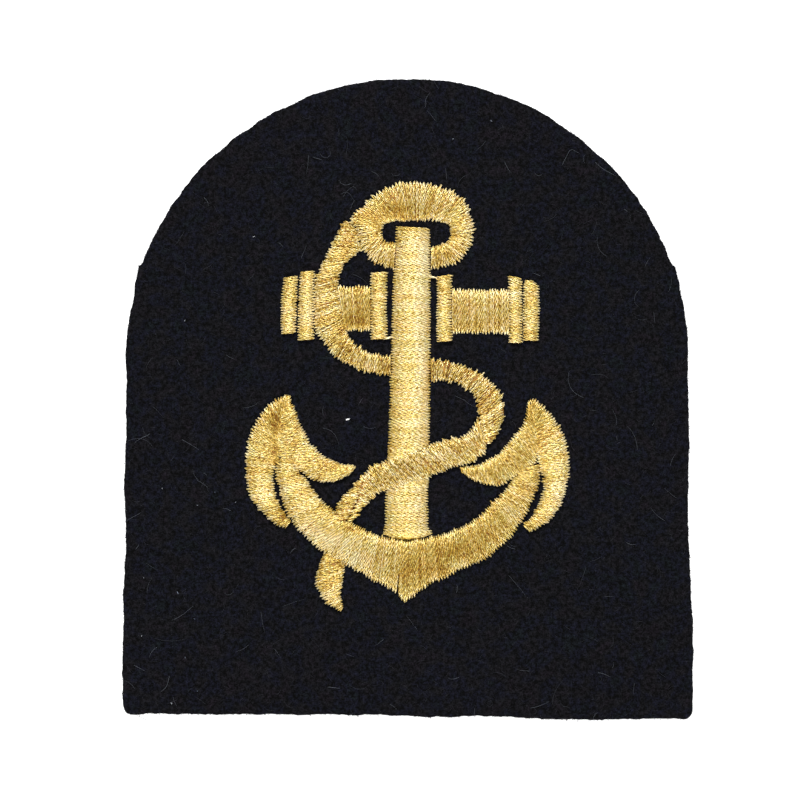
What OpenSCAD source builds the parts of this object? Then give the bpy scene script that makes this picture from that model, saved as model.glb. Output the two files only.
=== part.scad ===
/* [Cloth] */
// Width of the cloth at its hem
badge_w = 74.2; // [66:0.1:90]
// Height of the cloth from hem to crown of the arch
badge_h = 83.2; // [78:0.1:100]
// Thickness of the wool cloth
cloth_t = 1.6; // [1:0.1:3]
// How far the hem stands out past the arch on each side
hem_flare = 0.5; // [0:0.1:2]
// Radius of the two hem corners
corner_r = 1.3; // [0.5:0.1:4]
// How much higher the hem is cut at the left corner
hem_slant = 0.6; // [0:0.1:2]
// How far the cut steps out at each shoulder
shoulder_step = 0.4; // [0.1:0.1:1]
// Height of the shoulder steps above the centre of the arch
shoulder_rise = 12.3; // [8:0.1:18]

/* [Embroidery] */
// Height of the satin stitch on the shank
shank_rise = 0.75; // [0.4:0.05:1.2]
// Height of the satin stitch on the ring
ring_rise = 0.65; // [0.4:0.05:1.2]
// Height of the satin stitch on the cable
cable_rise = 0.65; // [0.4:0.05:1.2]
// Height of the satin stitch where the cable crosses the shank
crossing_rise = 0.9; // [0.4:0.05:1.4]
// Height of the satin stitch on the stock's collars
collar_rise = 0.65; // [0.4:0.05:1.2]
// Height of the satin stitch on the stock's panels
panel_rise = 0.55; // [0.4:0.05:1.2]
// Height of the satin stitch on the arms
arm_rise = 0.8; // [0.4:0.05:1.2]
// Height of the satin stitch on the blades
blade_rise = 0.7; // [0.4:0.05:1.2]

/* [Hidden] */
// The back of the cloth lies on z = 0, and the origin is the middle of its outline.
// The arch of the cloth is one circle.
arch_r = badge_w / 2 - hem_flare;
arch_y = badge_h / 2 - arch_r;
hem_y = -badge_h / 2;
// A step runs back into the arch this far below its corner.
shoulder_len = 5.7;
shoulder_x = circle_x(shoulder_rise) + shoulder_step;
// The sides run almost straight down, then flare to the hem. Heights above the hem:
flare_top = 23.5;
flare_end = 5.5;
// How far the sides have moved out where the flare begins
side_lean = 0.05;
arch_sides = 180;
corner_sides = 48;
WOOL_NAVY = [0.09, 0.09, 0.12];
THREAD_GOLD = [0.83, 0.69, 0.40];

// A satin column is a short table of guide stitches. Each row is one stitch across the
// column, from its one edge to its other: [from_x, from_y, to_x, to_y].
FROM_X = 0;
FROM_Y = 1;
TO_X = 2;
TO_Y = 3;
// Sections between two guide stitches, and faces across the dome of a column
SECTION_STEPS = 3;
DOME_STEPS = 6;
// A narrow column is at most this share of its width high.
SLIM_RISE = 0.45;

// Shank above the cable, from its top down, cut off along the cable
SHANK_UPPER = [
    [-1.5, 22.4, 2.9, 22.3],
    [-1.7, 18.9, 3.0, 18.9],
    [-2.0, 12.9, 3.0, 12.9],
    [-2.2, 3.8, 3.0, 3.8],
    [-2.5, -5.8, 2.95, -5.8],
    [-2.55, -6.4, 1.6, -6.4],
    [-2.6, -7.0, 0.2, -7.0],
    [-2.65, -7.55, -1.8, -7.55],
];
// Shank below the cable, down to its curved foot on the crown
SHANK_LOWER = [
    [2.1, -10.6, 2.75, -10.45],
    [0.5, -11.05, 2.75, -11.0],
    [-1.2, -11.6, 2.7, -11.6],
    [-2.9, -12.1, 2.7, -12.1],
    [-3.0, -16.6, 2.7, -16.6],
    [-3.1, -17.4, 2.85, -17.3],
    [-2.1, -17.8, 1.8, -17.8],
    [-0.9, -18.05, 0.6, -18.05],
];
// Ring from the shank's left side, over the top and back to its right side
RING = [
    [-1.9, 17.0, -1.75, 20.3],
    [-4.4, 17.8, -2.9, 21.0],
    [-6.0, 19.8, -3.4, 21.8],
    [-6.7, 21.9, -3.1, 22.4],
    [-7.0, 23.9, -2.5, 22.8],
    [-5.4, 25.7, -1.75, 23.0],
    [-3.05, 27.5, -0.7, 23.05],
    [-0.3, 28.3, 0.45, 23.1],
    [2.4, 28.2, 1.75, 23.1],
    [5.1, 27.4, 3.4, 23.1],
    [7.2, 25.8, 4.7, 22.9],
    [8.4, 23.7, 5.45, 22.3],
    [8.5, 21.4, 5.5, 21.3],
    [7.6, 19.0, 4.8, 20.4],
    [5.65, 17.55, 3.9, 19.9],
    [3.15, 17.1, 3.15, 19.7],
];
// Cable from the ring, over the stock and down to the shank's left side
CABLE_UPPER = [
    [-7.4, 23.9, -7.2, 23.6],
    [-8.05, 23.4, -7.15, 22.8],
    [-8.6, 22.6, -6.9, 21.6],
    [-9.0, 21.6, -6.25, 19.8],
    [-9.7, 19.9, -7.0, 18.5],
    [-10.7, 18.1, -8.4, 17.2],
    [-11.6, 16.2, -9.0, 15.7],
    [-12.1, 14.2, -8.95, 14.2],
    [-12.15, 12.0, -8.8, 12.7],
    [-12.1, 10.0, -8.6, 11.3],
    [-11.5, 8.5, -8.25, 9.7],
    [-10.3, 6.8, -7.8, 8.2],
    [-8.8, 5.0, -6.9, 6.9],
    [-6.8, 4.0, -5.4, 6.3],
    [-4.6, 3.4, -3.8, 5.7],
    [-2.35, 3.2, -2.35, 5.6],
];
// Cable in a bight from the shank's right side
CABLE_BIGHT = [
    [3.15, 5.1, 3.15, 2.5],
    [5.0, 5.1, 4.5, 2.4],
    [7.1, 4.5, 5.9, 2.1],
    [9.2, 3.5, 7.3, 1.5],
    [10.85, 2.3, 8.4, 0.7],
    [11.9, 0.8, 9.2, -0.5],
    [12.5, -1.0, 9.1, -1.8],
    [12.6, -2.7, 9.2, -3.0],
    [11.9, -4.0, 9.75, -4.2],
    [11.4, -5.1, 10.35, -5.3],
    [11.0, -5.8, 10.75, -5.9],
];
// Cable across the front of the shank, from the bight down to the left
CABLE_CROSSING = [
    [8.75, -2.7, 10.35, -5.85],
    [8.25, -4.0, 10.1, -6.3],
    [7.1, -4.8, 8.6, -7.8],
    [5.0, -5.2, 6.6, -8.8],
    [3.5, -5.8, 4.8, -9.4],
    [1.4, -6.8, 2.7, -10.2],
    [-1.0, -7.5, 0.2, -10.9],
    [-3.2, -8.1, -2.0, -11.6],
    [-5.4, -9.2, -3.8, -12.2],
];
// Cable from the crossing down to the left arm
CABLE_LOWER = [
    [-5.6, -9.4, -4.0, -12.5],
    [-7.1, -10.6, -5.1, -13.5],
    [-8.4, -12.2, -6.0, -14.3],
    [-9.1, -13.5, -6.6, -15.1],
    [-9.5, -14.5, -7.4, -15.9],
];
// Cable's end below the left arm
CABLE_TAIL = [
    [-10.95, -20.2, -10.5, -20.4],
    [-11.5, -21.8, -9.4, -21.1],
    [-12.0, -23.4, -8.2, -21.9],
    [-11.5, -24.8, -8.3, -23.1],
    [-10.6, -26.2, -8.5, -24.6],
    [-9.5, -27.0, -8.55, -26.0],
    [-8.5, -27.4, -8.4, -27.0],
];
// Stock to the left of the shank, its collars from top to bottom
STOCK_LEFT_END = [
    [-16.1, 15.8, -14.3, 16.1],
    [-16.45, 12.2, -14.4, 12.5],
    [-16.4, 8.4, -14.5, 8.7],
];
STOCK_LEFT_OUTER = [
    [-13.9, 16.5, -12.1, 16.8],
    [-14.2, 12.2, -12.35, 12.5],
    [-14.2, 7.6, -12.3, 7.9],
];
STOCK_LEFT_INNER = [
    [-4.85, 16.4, -2.6, 16.6],
    [-4.85, 12.2, -2.8, 12.4],
    [-4.8, 7.7, -2.8, 7.9],
];
// Its panel between the cable and the inner collar, from left to right
STOCK_LEFT_PANEL = [
    [-8.85, 14.7, -7.9, 8.9],
    [-7.6, 14.7, -7.2, 8.9],
    [-5.0, 14.7, -5.0, 8.9],
];
// Stock to the right of the shank
STOCK_RIGHT_INNER = [
    [3.9, 15.8, 5.8, 16.1],
    [3.9, 11.6, 5.8, 11.9],
    [3.9, 7.4, 5.8, 7.7],
];
STOCK_RIGHT_OUTER = [
    [13.2, 15.8, 14.8, 16.0],
    [13.2, 11.6, 14.8, 11.8],
    [13.2, 7.2, 14.8, 7.4],
];
STOCK_RIGHT_END = [
    [15.0, 15.2, 17.05, 15.4],
    [15.0, 11.4, 17.1, 11.6],
    [15.0, 7.5, 17.05, 7.7],
];
STOCK_RIGHT_PANEL = [
    [5.95, 14.3, 5.95, 8.6],
    [9.5, 14.2, 9.5, 8.6],
    [13.05, 14.2, 13.05, 8.5],
];
// Arms from the left bill to the point of the crown, and on to the right bill
ARM_LEFT = [
    [-14.2, -9.0, -17.05, -7.6],
    [-13.8, -9.6, -17.1, -9.4],
    [-13.1, -10.8, -16.6, -11.4],
    [-11.8, -12.5, -16.0, -13.7],
    [-10.4, -14.0, -15.0, -15.6],
    [-8.7, -15.4, -13.5, -17.4],
    [-6.7, -16.6, -11.5, -19.6],
    [-4.6, -17.5, -8.1, -21.6],
    [-2.4, -18.1, -4.3, -23.5],
    [-0.2, -18.3, -0.5, -26.3],
];
ARM_RIGHT = [
    [-0.2, -18.3, -0.5, -26.3],
    [1.6, -18.2, 2.1, -24.7],
    [3.8, -17.7, 5.4, -23.1],
    [6.2, -17.0, 9.2, -21.1],
    [8.3, -16.0, 11.9, -19.2],
    [9.8, -14.6, 14.0, -16.8],
    [11.2, -13.1, 15.4, -15.1],
    [12.4, -11.8, 16.1, -13.1],
    [13.4, -10.8, 16.7, -11.3],
    [14.2, -9.9, 17.3, -8.9],
];
// Blades of the left fluke, each from the peak
BLADE_LEFT_OUTER = [
    [-15.65, 0.6, -15.5, 0.35],
    [-17.1, -0.2, -16.2, -1.2],
    [-18.7, -1.7, -16.55, -3.2],
    [-19.9, -3.4, -16.8, -5.3],
    [-20.7, -5.7, -17.2, -7.4],
    [-21.1, -8.1, -17.6, -8.9],
    [-21.1, -10.3, -17.5, -10.6],
    [-20.5, -12.5, -17.3, -12.5],
    [-19.2, -14.5, -16.4, -14.0],
    [-17.9, -15.9, -15.6, -15.0],
    [-16.7, -16.6, -15.2, -15.7],
    [-15.7, -16.6, -15.1, -16.1],
];
BLADE_LEFT_INNER = [
    [-15.3, 0.4, -15.4, 0.1],
    [-15.0, -0.7, -15.95, -1.3],
    [-14.5, -2.2, -16.3, -3.6],
    [-13.8, -3.4, -16.55, -5.4],
    [-13.1, -4.6, -16.95, -7.2],
    [-12.4, -5.7, -15.6, -8.0],
    [-11.4, -6.8, -13.7, -9.1],
    [-10.4, -7.7, -12.4, -10.1],
    [-9.3, -8.3, -11.0, -10.7],
    [-8.2, -8.6, -9.5, -10.6],
    [-7.4, -8.6, -8.1, -10.0],
    [-6.8, -8.7, -6.95, -9.2],
];
// Blades of the right fluke, the inner one from its point and the outer one from the peak
BLADE_RIGHT_INNER = [
    [6.9, -9.0, 7.0, -9.4],
    [8.1, -8.8, 7.9, -10.2],
    [9.5, -8.3, 10.0, -11.0],
    [10.9, -7.6, 12.0, -11.0],
    [12.1, -6.8, 13.5, -10.3],
    [13.1, -5.9, 14.9, -9.2],
    [13.9, -4.9, 16.2, -8.8],
    [14.5, -4.0, 17.2, -8.3],
    [15.1, -3.0, 17.0, -5.9],
    [15.5, -1.8, 16.7, -3.8],
    [15.7, -0.9, 16.4, -1.9],
    [16.0, -0.2, 16.15, -0.5],
];
BLADE_RIGHT_OUTER = [
    [16.3, -0.1, 16.3, -0.4],
    [17.4, -0.5, 16.6, -1.8],
    [18.5, -1.8, 16.95, -3.9],
    [19.6, -3.4, 17.2, -6.1],
    [20.5, -5.3, 17.4, -8.1],
    [21.0, -7.5, 17.6, -9.8],
    [21.0, -9.8, 17.7, -11.0],
    [20.7, -12.3, 17.3, -12.7],
    [19.9, -14.2, 16.7, -14.2],
    [18.4, -15.9, 16.0, -15.3],
    [17.0, -16.9, 15.3, -16.1],
    [15.9, -17.3, 15.2, -16.6],
];

// The row of a table at i, or its first or last row beyond the ends
function row_at(table, i) = table[max(0, min(len(table) - 1, i))];

// The point a share t of the way from q to r on a smooth curve through p, q, r and s
function curve(p, q, r, s, t) =
    0.5 * (2 * q + (r - p) * t + (2 * p - 5 * q + 4 * r - s) * pow(t, 2)
        + (3 * q - p - 3 * r + s) * pow(t, 3));

// A table's guide stitches with smooth sections between them
function smooth(table, steps = SECTION_STEPS) = [
    for (i = [0 : len(table) - 2]) for (k = [0 : steps - 1])
        curve(row_at(table, i - 1), row_at(table, i),
            row_at(table, i + 1), row_at(table, i + 2), k / steps),
    table[len(table) - 1],
];

// Rows without the first one, to join two tables that share a row
function rest(rows) = [for (i = [1 : len(rows) - 1]) rows[i]];

function from_end(row) = [row[FROM_X], row[FROM_Y]];
function to_end(row) = [row[TO_X], row[TO_Y]];

// Twice the signed area that one step of a column covers, below zero if it turns clockwise
function step_area(a, b) =
    cross(to_end(b) - from_end(a), from_end(b) - to_end(a));
function total(list, i = 0) = i < len(list) ? list[i] + total(list, i + 1) : 0;

// The rows with their ends swapped where that makes the column turn anticlockwise
function turned(rows) =
    total([for (i = [0 : len(rows) - 2]) step_area(rows[i], rows[i + 1])]) > 0
        ? rows
        : [for (r = rows) [r[TO_X], r[TO_Y], r[FROM_X], r[FROM_Y]]];

// One domed section of a column, standing on the face of the cloth
function dome(row, rise) =
    let (
        a = from_end(row),
        b = to_end(row),
        high = min(rise, SLIM_RISE * norm(b - a))
    )
    [for (j = [0 : DOME_STEPS])
        let (
            turn = 180 * j / DOME_STEPS,
            at = a + (b - a) * (1 - cos(turn)) / 2
        )
        [at[0], at[1], cloth_t + high * sin(turn)]
    ];

// The two triangles of a four-sided face
function halves(a, b, c, d) = [[a, b, c], [a, c, d]];

// A closed column of satin stitch through its rows of guide stitches
module satin(rows, rise) {
    ordered = turned(rows);
    side = DOME_STEPS + 1;
    last = (len(ordered) - 1) * side;
    points = [for (row = ordered) each dome(row, rise)];
    skin = [
        for (i = [0 : len(ordered) - 2]) for (j = [0 : side - 1])
            let (
                low = i * side + j,
                high = i * side + (j + 1) % side
            )
            each halves(low, low + side, high + side, high)
    ];
    start = [for (j = [0 : side - 1]) j];
    end = [for (j = [side - 1 : -1 : 0]) last + j];
    polyhedron(points, concat([start], skin, [end]), convexity = 6);
}

// Half the width of the arch at a height above its centre
function circle_x(rise) = sqrt(pow(arch_r, 2) - pow(rise, 2));

// One side of the cloth's outline, from the shoulder down to the hem corner
function side_line(side, foot_y) = [
    [side * shoulder_x, arch_y + shoulder_rise],
    [side * circle_x(shoulder_rise - shoulder_len), arch_y + shoulder_rise - shoulder_len],
    [side * arch_r, arch_y],
    [side * (arch_r + side_lean), hem_y + flare_top],
    [side * badge_w / 2, hem_y + flare_end],
    [side * badge_w / 2, foot_y + corner_r],
    [side * (badge_w / 2 - corner_r), foot_y],
];

function reversed(list) = [for (i = [len(list) - 1 : -1 : 0]) list[i]];

module hem_corner(side, foot_y)
    translate([side * (badge_w / 2 - corner_r), foot_y + corner_r])
        cylinder(r = corner_r, h = cloth_t, $fn = corner_sides);

module cloth_ground() color(WOOL_NAVY) union() {
    translate([0, arch_y]) cylinder(r = arch_r, h = cloth_t, $fn = arch_sides);
    linear_extrude(cloth_t)
        polygon(concat(side_line(1, hem_y), reversed(side_line(-1, hem_y + hem_slant))));
    hem_corner(1, hem_y);
    hem_corner(-1, hem_y + hem_slant);
}

module gold() color(THREAD_GOLD) children();

module shank_upper() gold() satin(SHANK_UPPER, shank_rise);
module shank_lower() gold() satin(SHANK_LOWER, shank_rise);
module ring() gold() satin(smooth(RING), ring_rise);

module cable_upper() gold() satin(smooth(CABLE_UPPER), cable_rise);
module cable_bight() gold() satin(smooth(CABLE_BIGHT), cable_rise);
module cable_crossing() gold() satin(smooth(CABLE_CROSSING), crossing_rise);
module cable_lower() gold() satin(smooth(CABLE_LOWER), cable_rise);
module cable_tail() gold() satin(smooth(CABLE_TAIL), cable_rise);

module stock_left_end() gold() satin(smooth(STOCK_LEFT_END), collar_rise);
module stock_left_outer() gold() satin(smooth(STOCK_LEFT_OUTER), collar_rise);
module stock_left_panel() gold() satin(smooth(STOCK_LEFT_PANEL), panel_rise);
module stock_left_inner() gold() satin(smooth(STOCK_LEFT_INNER), collar_rise);
module stock_right_inner() gold() satin(smooth(STOCK_RIGHT_INNER), collar_rise);
module stock_right_panel() gold() satin(smooth(STOCK_RIGHT_PANEL), panel_rise);
module stock_right_outer() gold() satin(smooth(STOCK_RIGHT_OUTER), collar_rise);
module stock_right_end() gold() satin(smooth(STOCK_RIGHT_END), collar_rise);

module crown_arms() gold()
    satin(concat(smooth(ARM_LEFT), rest(smooth(ARM_RIGHT))), arm_rise);

module blade_left_outer() gold() satin(smooth(BLADE_LEFT_OUTER), blade_rise);
module blade_left_inner() gold() satin(smooth(BLADE_LEFT_INNER), blade_rise);
module blade_right_inner() gold() satin(smooth(BLADE_RIGHT_INNER), blade_rise);
module blade_right_outer() gold() satin(smooth(BLADE_RIGHT_OUTER), blade_rise);

cloth_ground();
shank_upper();
shank_lower();
ring();
cable_upper();
cable_bight();
cable_crossing();
cable_lower();
cable_tail();
stock_left_end();
stock_left_outer();
stock_left_panel();
stock_left_inner();
stock_right_inner();
stock_right_panel();
stock_right_outer();
stock_right_end();
crown_arms();
blade_left_outer();
blade_left_inner();
blade_right_inner();
blade_right_outer();
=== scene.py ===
"""A rank badge lying face up: navy wool cloth with a fouled anchor in gold satin stitch.

The embroidery is built as it is sewn. Each satin column has a table of guide stitches, and a
thread goes to and fro between the column's two edges, over a padded underlay.
Lengths are in millimetres until new_piece() makes them metres. Names that end in _M are in metres.
"""
import math

import bpy
import numpy as np
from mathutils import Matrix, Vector, noise
from mathutils.geometry import delaunay_2d_cdt


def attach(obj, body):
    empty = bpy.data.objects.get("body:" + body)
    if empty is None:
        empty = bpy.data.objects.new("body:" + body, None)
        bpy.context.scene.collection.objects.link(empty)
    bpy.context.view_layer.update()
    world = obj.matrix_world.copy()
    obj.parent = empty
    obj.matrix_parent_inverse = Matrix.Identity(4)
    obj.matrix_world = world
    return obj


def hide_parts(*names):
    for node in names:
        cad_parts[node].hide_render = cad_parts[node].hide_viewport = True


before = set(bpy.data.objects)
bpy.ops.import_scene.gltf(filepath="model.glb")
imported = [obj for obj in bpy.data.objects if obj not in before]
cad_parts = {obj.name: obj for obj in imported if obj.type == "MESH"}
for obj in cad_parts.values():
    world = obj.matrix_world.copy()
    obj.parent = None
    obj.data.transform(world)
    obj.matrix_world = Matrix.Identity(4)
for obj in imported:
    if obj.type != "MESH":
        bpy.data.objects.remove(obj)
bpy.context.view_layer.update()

MM = 0.001

# Camera: straight above, with a long lens. The photograph's scale and the place of the badge in it:
IMAGE_PX = 800
MM_PER_PX = 0.13
BADGE_CENTRE_PX = (407.5, 399.0)
CAMERA_HEIGHT = 700.0
SENSOR_MM = 36.0
CLIP_START_M = 0.05

# Cloth, as in the frame's part
BADGE_W = 74.2
BADGE_H = 83.2
CLOTH_T = 1.6
HEM_FLARE = 0.5
CORNER_R = 1.3
HEM_SLANT = 0.6
SHOULDER_STEP = 0.4
SHOULDER_RISE = 12.3
SHOULDER_LEN = 5.7
FLARE_TOP = 23.5
FLARE_END = 5.5
SIDE_LEAN = 0.05
ARCH_R = BADGE_W / 2 - HEM_FLARE
ARCH_Y = BADGE_H / 2 - ARCH_R
HEM_Y = -BADGE_H / 2

# Thread: two plies twisted together. Its section's corners, as radius, degrees, and 1 in a groove:
SECTION = [
    [0.115, -27, 0], [0.115, 27, 0], [0.05, 90, 1],
    [0.115, 153, 0], [0.115, 207, 0], [0.05, 270, 1],
]
TWIST_MM = 1.6
STATION_MM = 0.165
SECTION_STEPS = 12

# Guide stitches of the satin columns, one row each: from_x, from_y, to_x, to_y. A smooth curve
# joins them, except on the shank, whose edges are straight.
SHANK_UPPER = [
    [-1.5, 22.4, 2.9, 22.15], [-1.7, 18.9, 3, 18.9], [-2, 12.9, 3, 12.9], [-2.2, 3.8, 3, 3.8],
    [-2.55, -6.5, 2.9, -6.5], [-2.57, -7.1, 1.9, -7.1], [-2.6, -7.7, 0.6, -7.7], [-2.65, -8.3, -1.2, -8.3],
]
SHANK_LOWER = [
    [1.2, -9.9, 2.75, -9.8], [-0.4, -10.4, 2.75, -10.4], [-2, -10.9, 2.72, -10.9],
    [-2.85, -11.4, 2.7, -11.4], [-3, -16.6, 2.7, -16.6], [-3.25, -17.45, 3.25, -17.45],
    [-2.5, -17.85, 2.4, -17.85], [-1.2, -18.15, 0.9, -18.15],
]
RING = [
    [-1.9, 17, -1.6, 20.2], [-3.3, 17.3, -2.55, 20.35], [-4.6, 18, -3.15, 20.75], [-5.5, 18.9, -3.3, 21.2],
    [-6.1, 19.8, -3.35, 21.65], [-6.35, 20.8, -3.35, 22.05], [-6.65, 21.8, -3.25, 22.35],
    [-7.2, 22.7, -3.15, 22.6], [-7.45, 23.4, -2.9, 22.85], [-6.8, 24.3, -2.4, 23.05],
    [-5.8, 25.2, -1.9, 23.15], [-4.8, 26.15, -1.4, 23.25], [-3, 27.35, -0.6, 23.2],
    [-0.3, 28.2, 0.45, 23.2], [2.4, 28.1, 1.75, 23.2], [5.1, 27.4, 3.4, 23.15], [7.3, 25.9, 4.7, 22.95],
    [8.45, 23.7, 5.5, 22.35], [8.55, 21.4, 5.65, 21.3], [7.7, 18.95, 5.15, 20.35], [5.65, 17.4, 4.1, 19.95],
    [3.15, 17, 3.15, 19.75],
]
CABLE_UPPER = [
    [-8, 23.05, -7.6, 22.95], [-8.5, 22.7, -7.1, 22.4], [-8.95, 22, -6.55, 21.7], [-9.35, 21.2, -6.3, 20.9],
    [-9.7, 20.4, -6.15, 20.15], [-10, 19.7, -6.15, 19.4], [-10.4, 19, -6.7, 18.9],
    [-10.85, 18.1, -7.4, 18.3], [-11.7, 16.5, -8.4, 17.3], [-12.2, 14.6, -8.95, 15.4],
    [-12.3, 12.2, -8.8, 13.2], [-12.3, 9.9, -8.55, 11.6], [-11.75, 8.3, -8.3, 10.4],
    [-10.8, 7.1, -8.05, 9.4], [-9.9, 6.05, -7.85, 8.7], [-9, 5.1, -7.55, 8], [-8, 4.5, -7, 7.3],
    [-6.5, 3.9, -6, 6.55], [-5.1, 3.4, -4.85, 5.95], [-3.7, 3.15, -3.6, 5.75], [-2.35, 3.1, -2.35, 5.6],
]
CABLE_BIGHT = [
    [3.15, 5.1, 3.15, 2.6], [5, 5.1, 4.5, 2.65], [7.1, 4.5, 6, 2.35], [9.25, 3.6, 7.75, 1.6],
    [10.95, 2.3, 8.9, 0.1], [12.05, 0.85, 9.35, -2], [12.6, -0.6, 9.4, -3.2], [12.75, -1.85, 9.6, -3.95],
    [12.4, -3.1, 9.75, -4.55], [11.95, -4.3, 9.85, -5], [11.4, -5.2, 10, -5.5], [10.8, -5.8, 10.15, -5.85],
]
CABLE_CROSSING = [
    [8.95, -2.8, 10, -5.7], [8.5, -3.7, 10.2, -6.15], [7.9, -4.4, 10.2, -6.6], [7.1, -4.8, 9.8, -7.15],
    [5, -5.2, 8.4, -8.1], [3.5, -5.8, 6.8, -8.7], [1.4, -6.75, 4.6, -9.45], [-1, -7.45, 2.3, -10.3],
    [-3.2, -8.05, 0.1, -10.9], [-4.4, -8.5, -1.3, -11.35], [-5.3, -9.25, -2.6, -11.75],
    [-5.55, -9.65, -3, -11.95],
]
# The lower cable is sewn as two strips with a seam along its middle.
CABLE_LOWER_LEFT = [
    [-5.75, -9.7, -5.35, -9.8], [-6.3, -10.4, -5.7, -10.5], [-6.9, -11.1, -5.9, -11.2],
    [-7.6, -11.9, -6.15, -11.9], [-8.3, -12.7, -6.4, -12.7], [-9, -13.4, -6.65, -13.4],
    [-9.4, -14.3, -7, -14.1], [-9.6, -15.2, -7.4, -14.9], [-9.6, -15.9, -7.8, -15.6],
]
CABLE_LOWER_RIGHT = [
    [-5.7, -10.1, -3.2, -12], [-5.9, -10.9, -3.8, -12.35], [-6.1, -11.7, -4.3, -12.7],
    [-6.3, -12.4, -4.7, -13], [-6.5, -13.1, -5.1, -13.4], [-6.7, -13.8, -5.5, -13.75],
    [-7, -14.4, -6, -14.15], [-7.3, -15, -6.35, -14.8], [-7.65, -15.7, -6.9, -15.5],
    [-7.9, -16.1, -7.4, -16],
]
CABLE_TAIL = [
    [-10.9, -20.2, -10.4, -20.1], [-11.35, -21.2, -9.6, -20.5], [-11.7, -22.2, -8.4, -21],
    [-11.95, -23.45, -8.2, -21.9], [-11.7, -24.8, -8.35, -23.1], [-10.8, -26.2, -8.6, -24.6],
    [-9.75, -27.1, -8.6, -26], [-8.65, -27.5, -8.45, -27],
]
STOCK_LEFT_END = [
    [-16.1, 15.65, -14.3, 15.95], [-16.45, 12.2, -14.4, 12.5], [-16.4, 8.5, -14.5, 8.65],
]
STOCK_LEFT_OUTER = [
    [-13.9, 16.4, -12.05, 16.65], [-14.2, 12.2, -12.15, 12.5], [-14.2, 7.7, -12.15, 7.8],
]
STOCK_LEFT_INNER = [
    [-4.85, 16.3, -2.6, 16.45], [-4.85, 12.2, -2.7, 12.4], [-4.8, 7.8, -2.6, 7.9],
]
STOCK_LEFT_PANEL = [
    [-8.95, 14.7, -8.15, 8.9], [-7.7, 14.7, -7.3, 8.9], [-5, 14.7, -5, 8.9],
]
STOCK_RIGHT_INNER = [
    [3.8, 15.8, 5.8, 16.1], [3.8, 11.6, 5.8, 11.9], [3.8, 7.5, 5.8, 7.6],
]
STOCK_RIGHT_OUTER = [
    [13.1, 15.9, 14.85, 15.65], [13.1, 11.6, 14.9, 11.6], [13.2, 7.4, 14.9, 7.35],
]
STOCK_RIGHT_END = [
    [15.3, 15.35, 16.3, 15.35], [15.15, 14.9, 16.95, 14.8], [15.05, 14.1, 17.1, 14],
    [15, 11.4, 17.15, 11.4], [15, 7.7, 17, 7.6],
]
STOCK_RIGHT_PANEL = [
    [5.95, 14.4, 5.95, 8.5], [9.5, 14.3, 9.5, 8.5], [13.05, 14.3, 13.05, 8.4],
]
# The arms and crown are sewn as two strips, which part in a slit at the crown's point.
ARM_LEFT = [
    [-13.8, -8.3, -17.15, -7.9], [-14.15, -9.2, -17.2, -9.3], [-13.35, -10.3, -16.95, -10.9],
    [-12.45, -11.6, -16.45, -12.8], [-11.4, -12.85, -15.5, -15.1], [-10.2, -14, -14.1, -17.15],
    [-9.25, -14.8, -12.85, -18.4], [-8.4, -15.4, -11.6, -19.5], [-7.4, -15.95, -10.1, -20.6],
    [-6.3, -16.6, -8.5, -21.35], [-5, -17.25, -6.55, -22.4], [-3.6, -17.8, -4.6, -23.6],
    [-2.2, -18.1, -2.95, -24.4], [-0.7, -18.25, -1.45, -25.3],
]
ARM_RIGHT = [
    [-0.9, -18.25, -1.2, -25.6], [-0.25, -18.25, -0.5, -26.35], [0.4, -18.25, 0.3, -26.1],
    [1.3, -18.2, 1.5, -25.1], [2.4, -18.05, 2.85, -24.15], [3.5, -17.85, 4.35, -23.5],
    [4.6, -17.55, 5.85, -22.75], [5.8, -17.15, 7.55, -22], [7.2, -16.6, 9.45, -21.2],
    [8.5, -15.8, 11.35, -19.9], [9.8, -14.8, 13, -18.35], [10.9, -13.6, 14.4, -16.65],
    [12.1, -12.4, 15.75, -14.5], [13.2, -11, 16.75, -12.2], [14, -10.1, 17.3, -10.2],
    [14.6, -9.3, 17.35, -8.8],
]
# Each fluke is sewn as two blades, whose stitches slant down to a seam along its middle.
BLADE_LEFT_OUTER = [
    [-15.65, 0.6, -15.6, -0.5], [-16.45, 0.25, -15.9, -1.5], [-17.4, -0.3, -16.15, -2.4],
    [-18.3, -0.95, -16.35, -3.4], [-19.2, -2.1, -16.5, -4.4], [-20, -3.4, -16.55, -5.2],
    [-20.7, -5.2, -16.55, -6.4], [-21.05, -7.1, -16.75, -7.8], [-21.1, -9, -17.4, -9.2],
    [-21, -10.7, -17.55, -10.7], [-20.5, -12.7, -17.3, -12.3], [-19.5, -14.1, -16.85, -13.6],
    [-18.2, -15.4, -16.3, -14.7], [-16.9, -16.5, -15.7, -15.5], [-15.9, -16.7, -15.2, -15.9],
]
BLADE_LEFT_INNER = [
    [-15.4, 0.5, -15.85, -0.4], [-15.05, -0.4, -16.3, -1.3], [-14.6, -1.4, -16.65, -2.8],
    [-14.2, -2.5, -16.8, -4.3], [-13.7, -3.6, -16.85, -5.6], [-13.1, -4.8, -16.75, -7],
    [-12.4, -5.9, -16.3, -8], [-11.5, -6.9, -15.1, -8.6], [-10.2, -7.8, -13.9, -9.3],
    [-9.2, -8.25, -12.6, -10.3], [-8.2, -8.5, -11.1, -10.75], [-7.4, -8.6, -9.5, -10.7],
    [-6.95, -8.7, -8, -10], [-6.8, -8.8, -7.1, -9.35],
]
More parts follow.
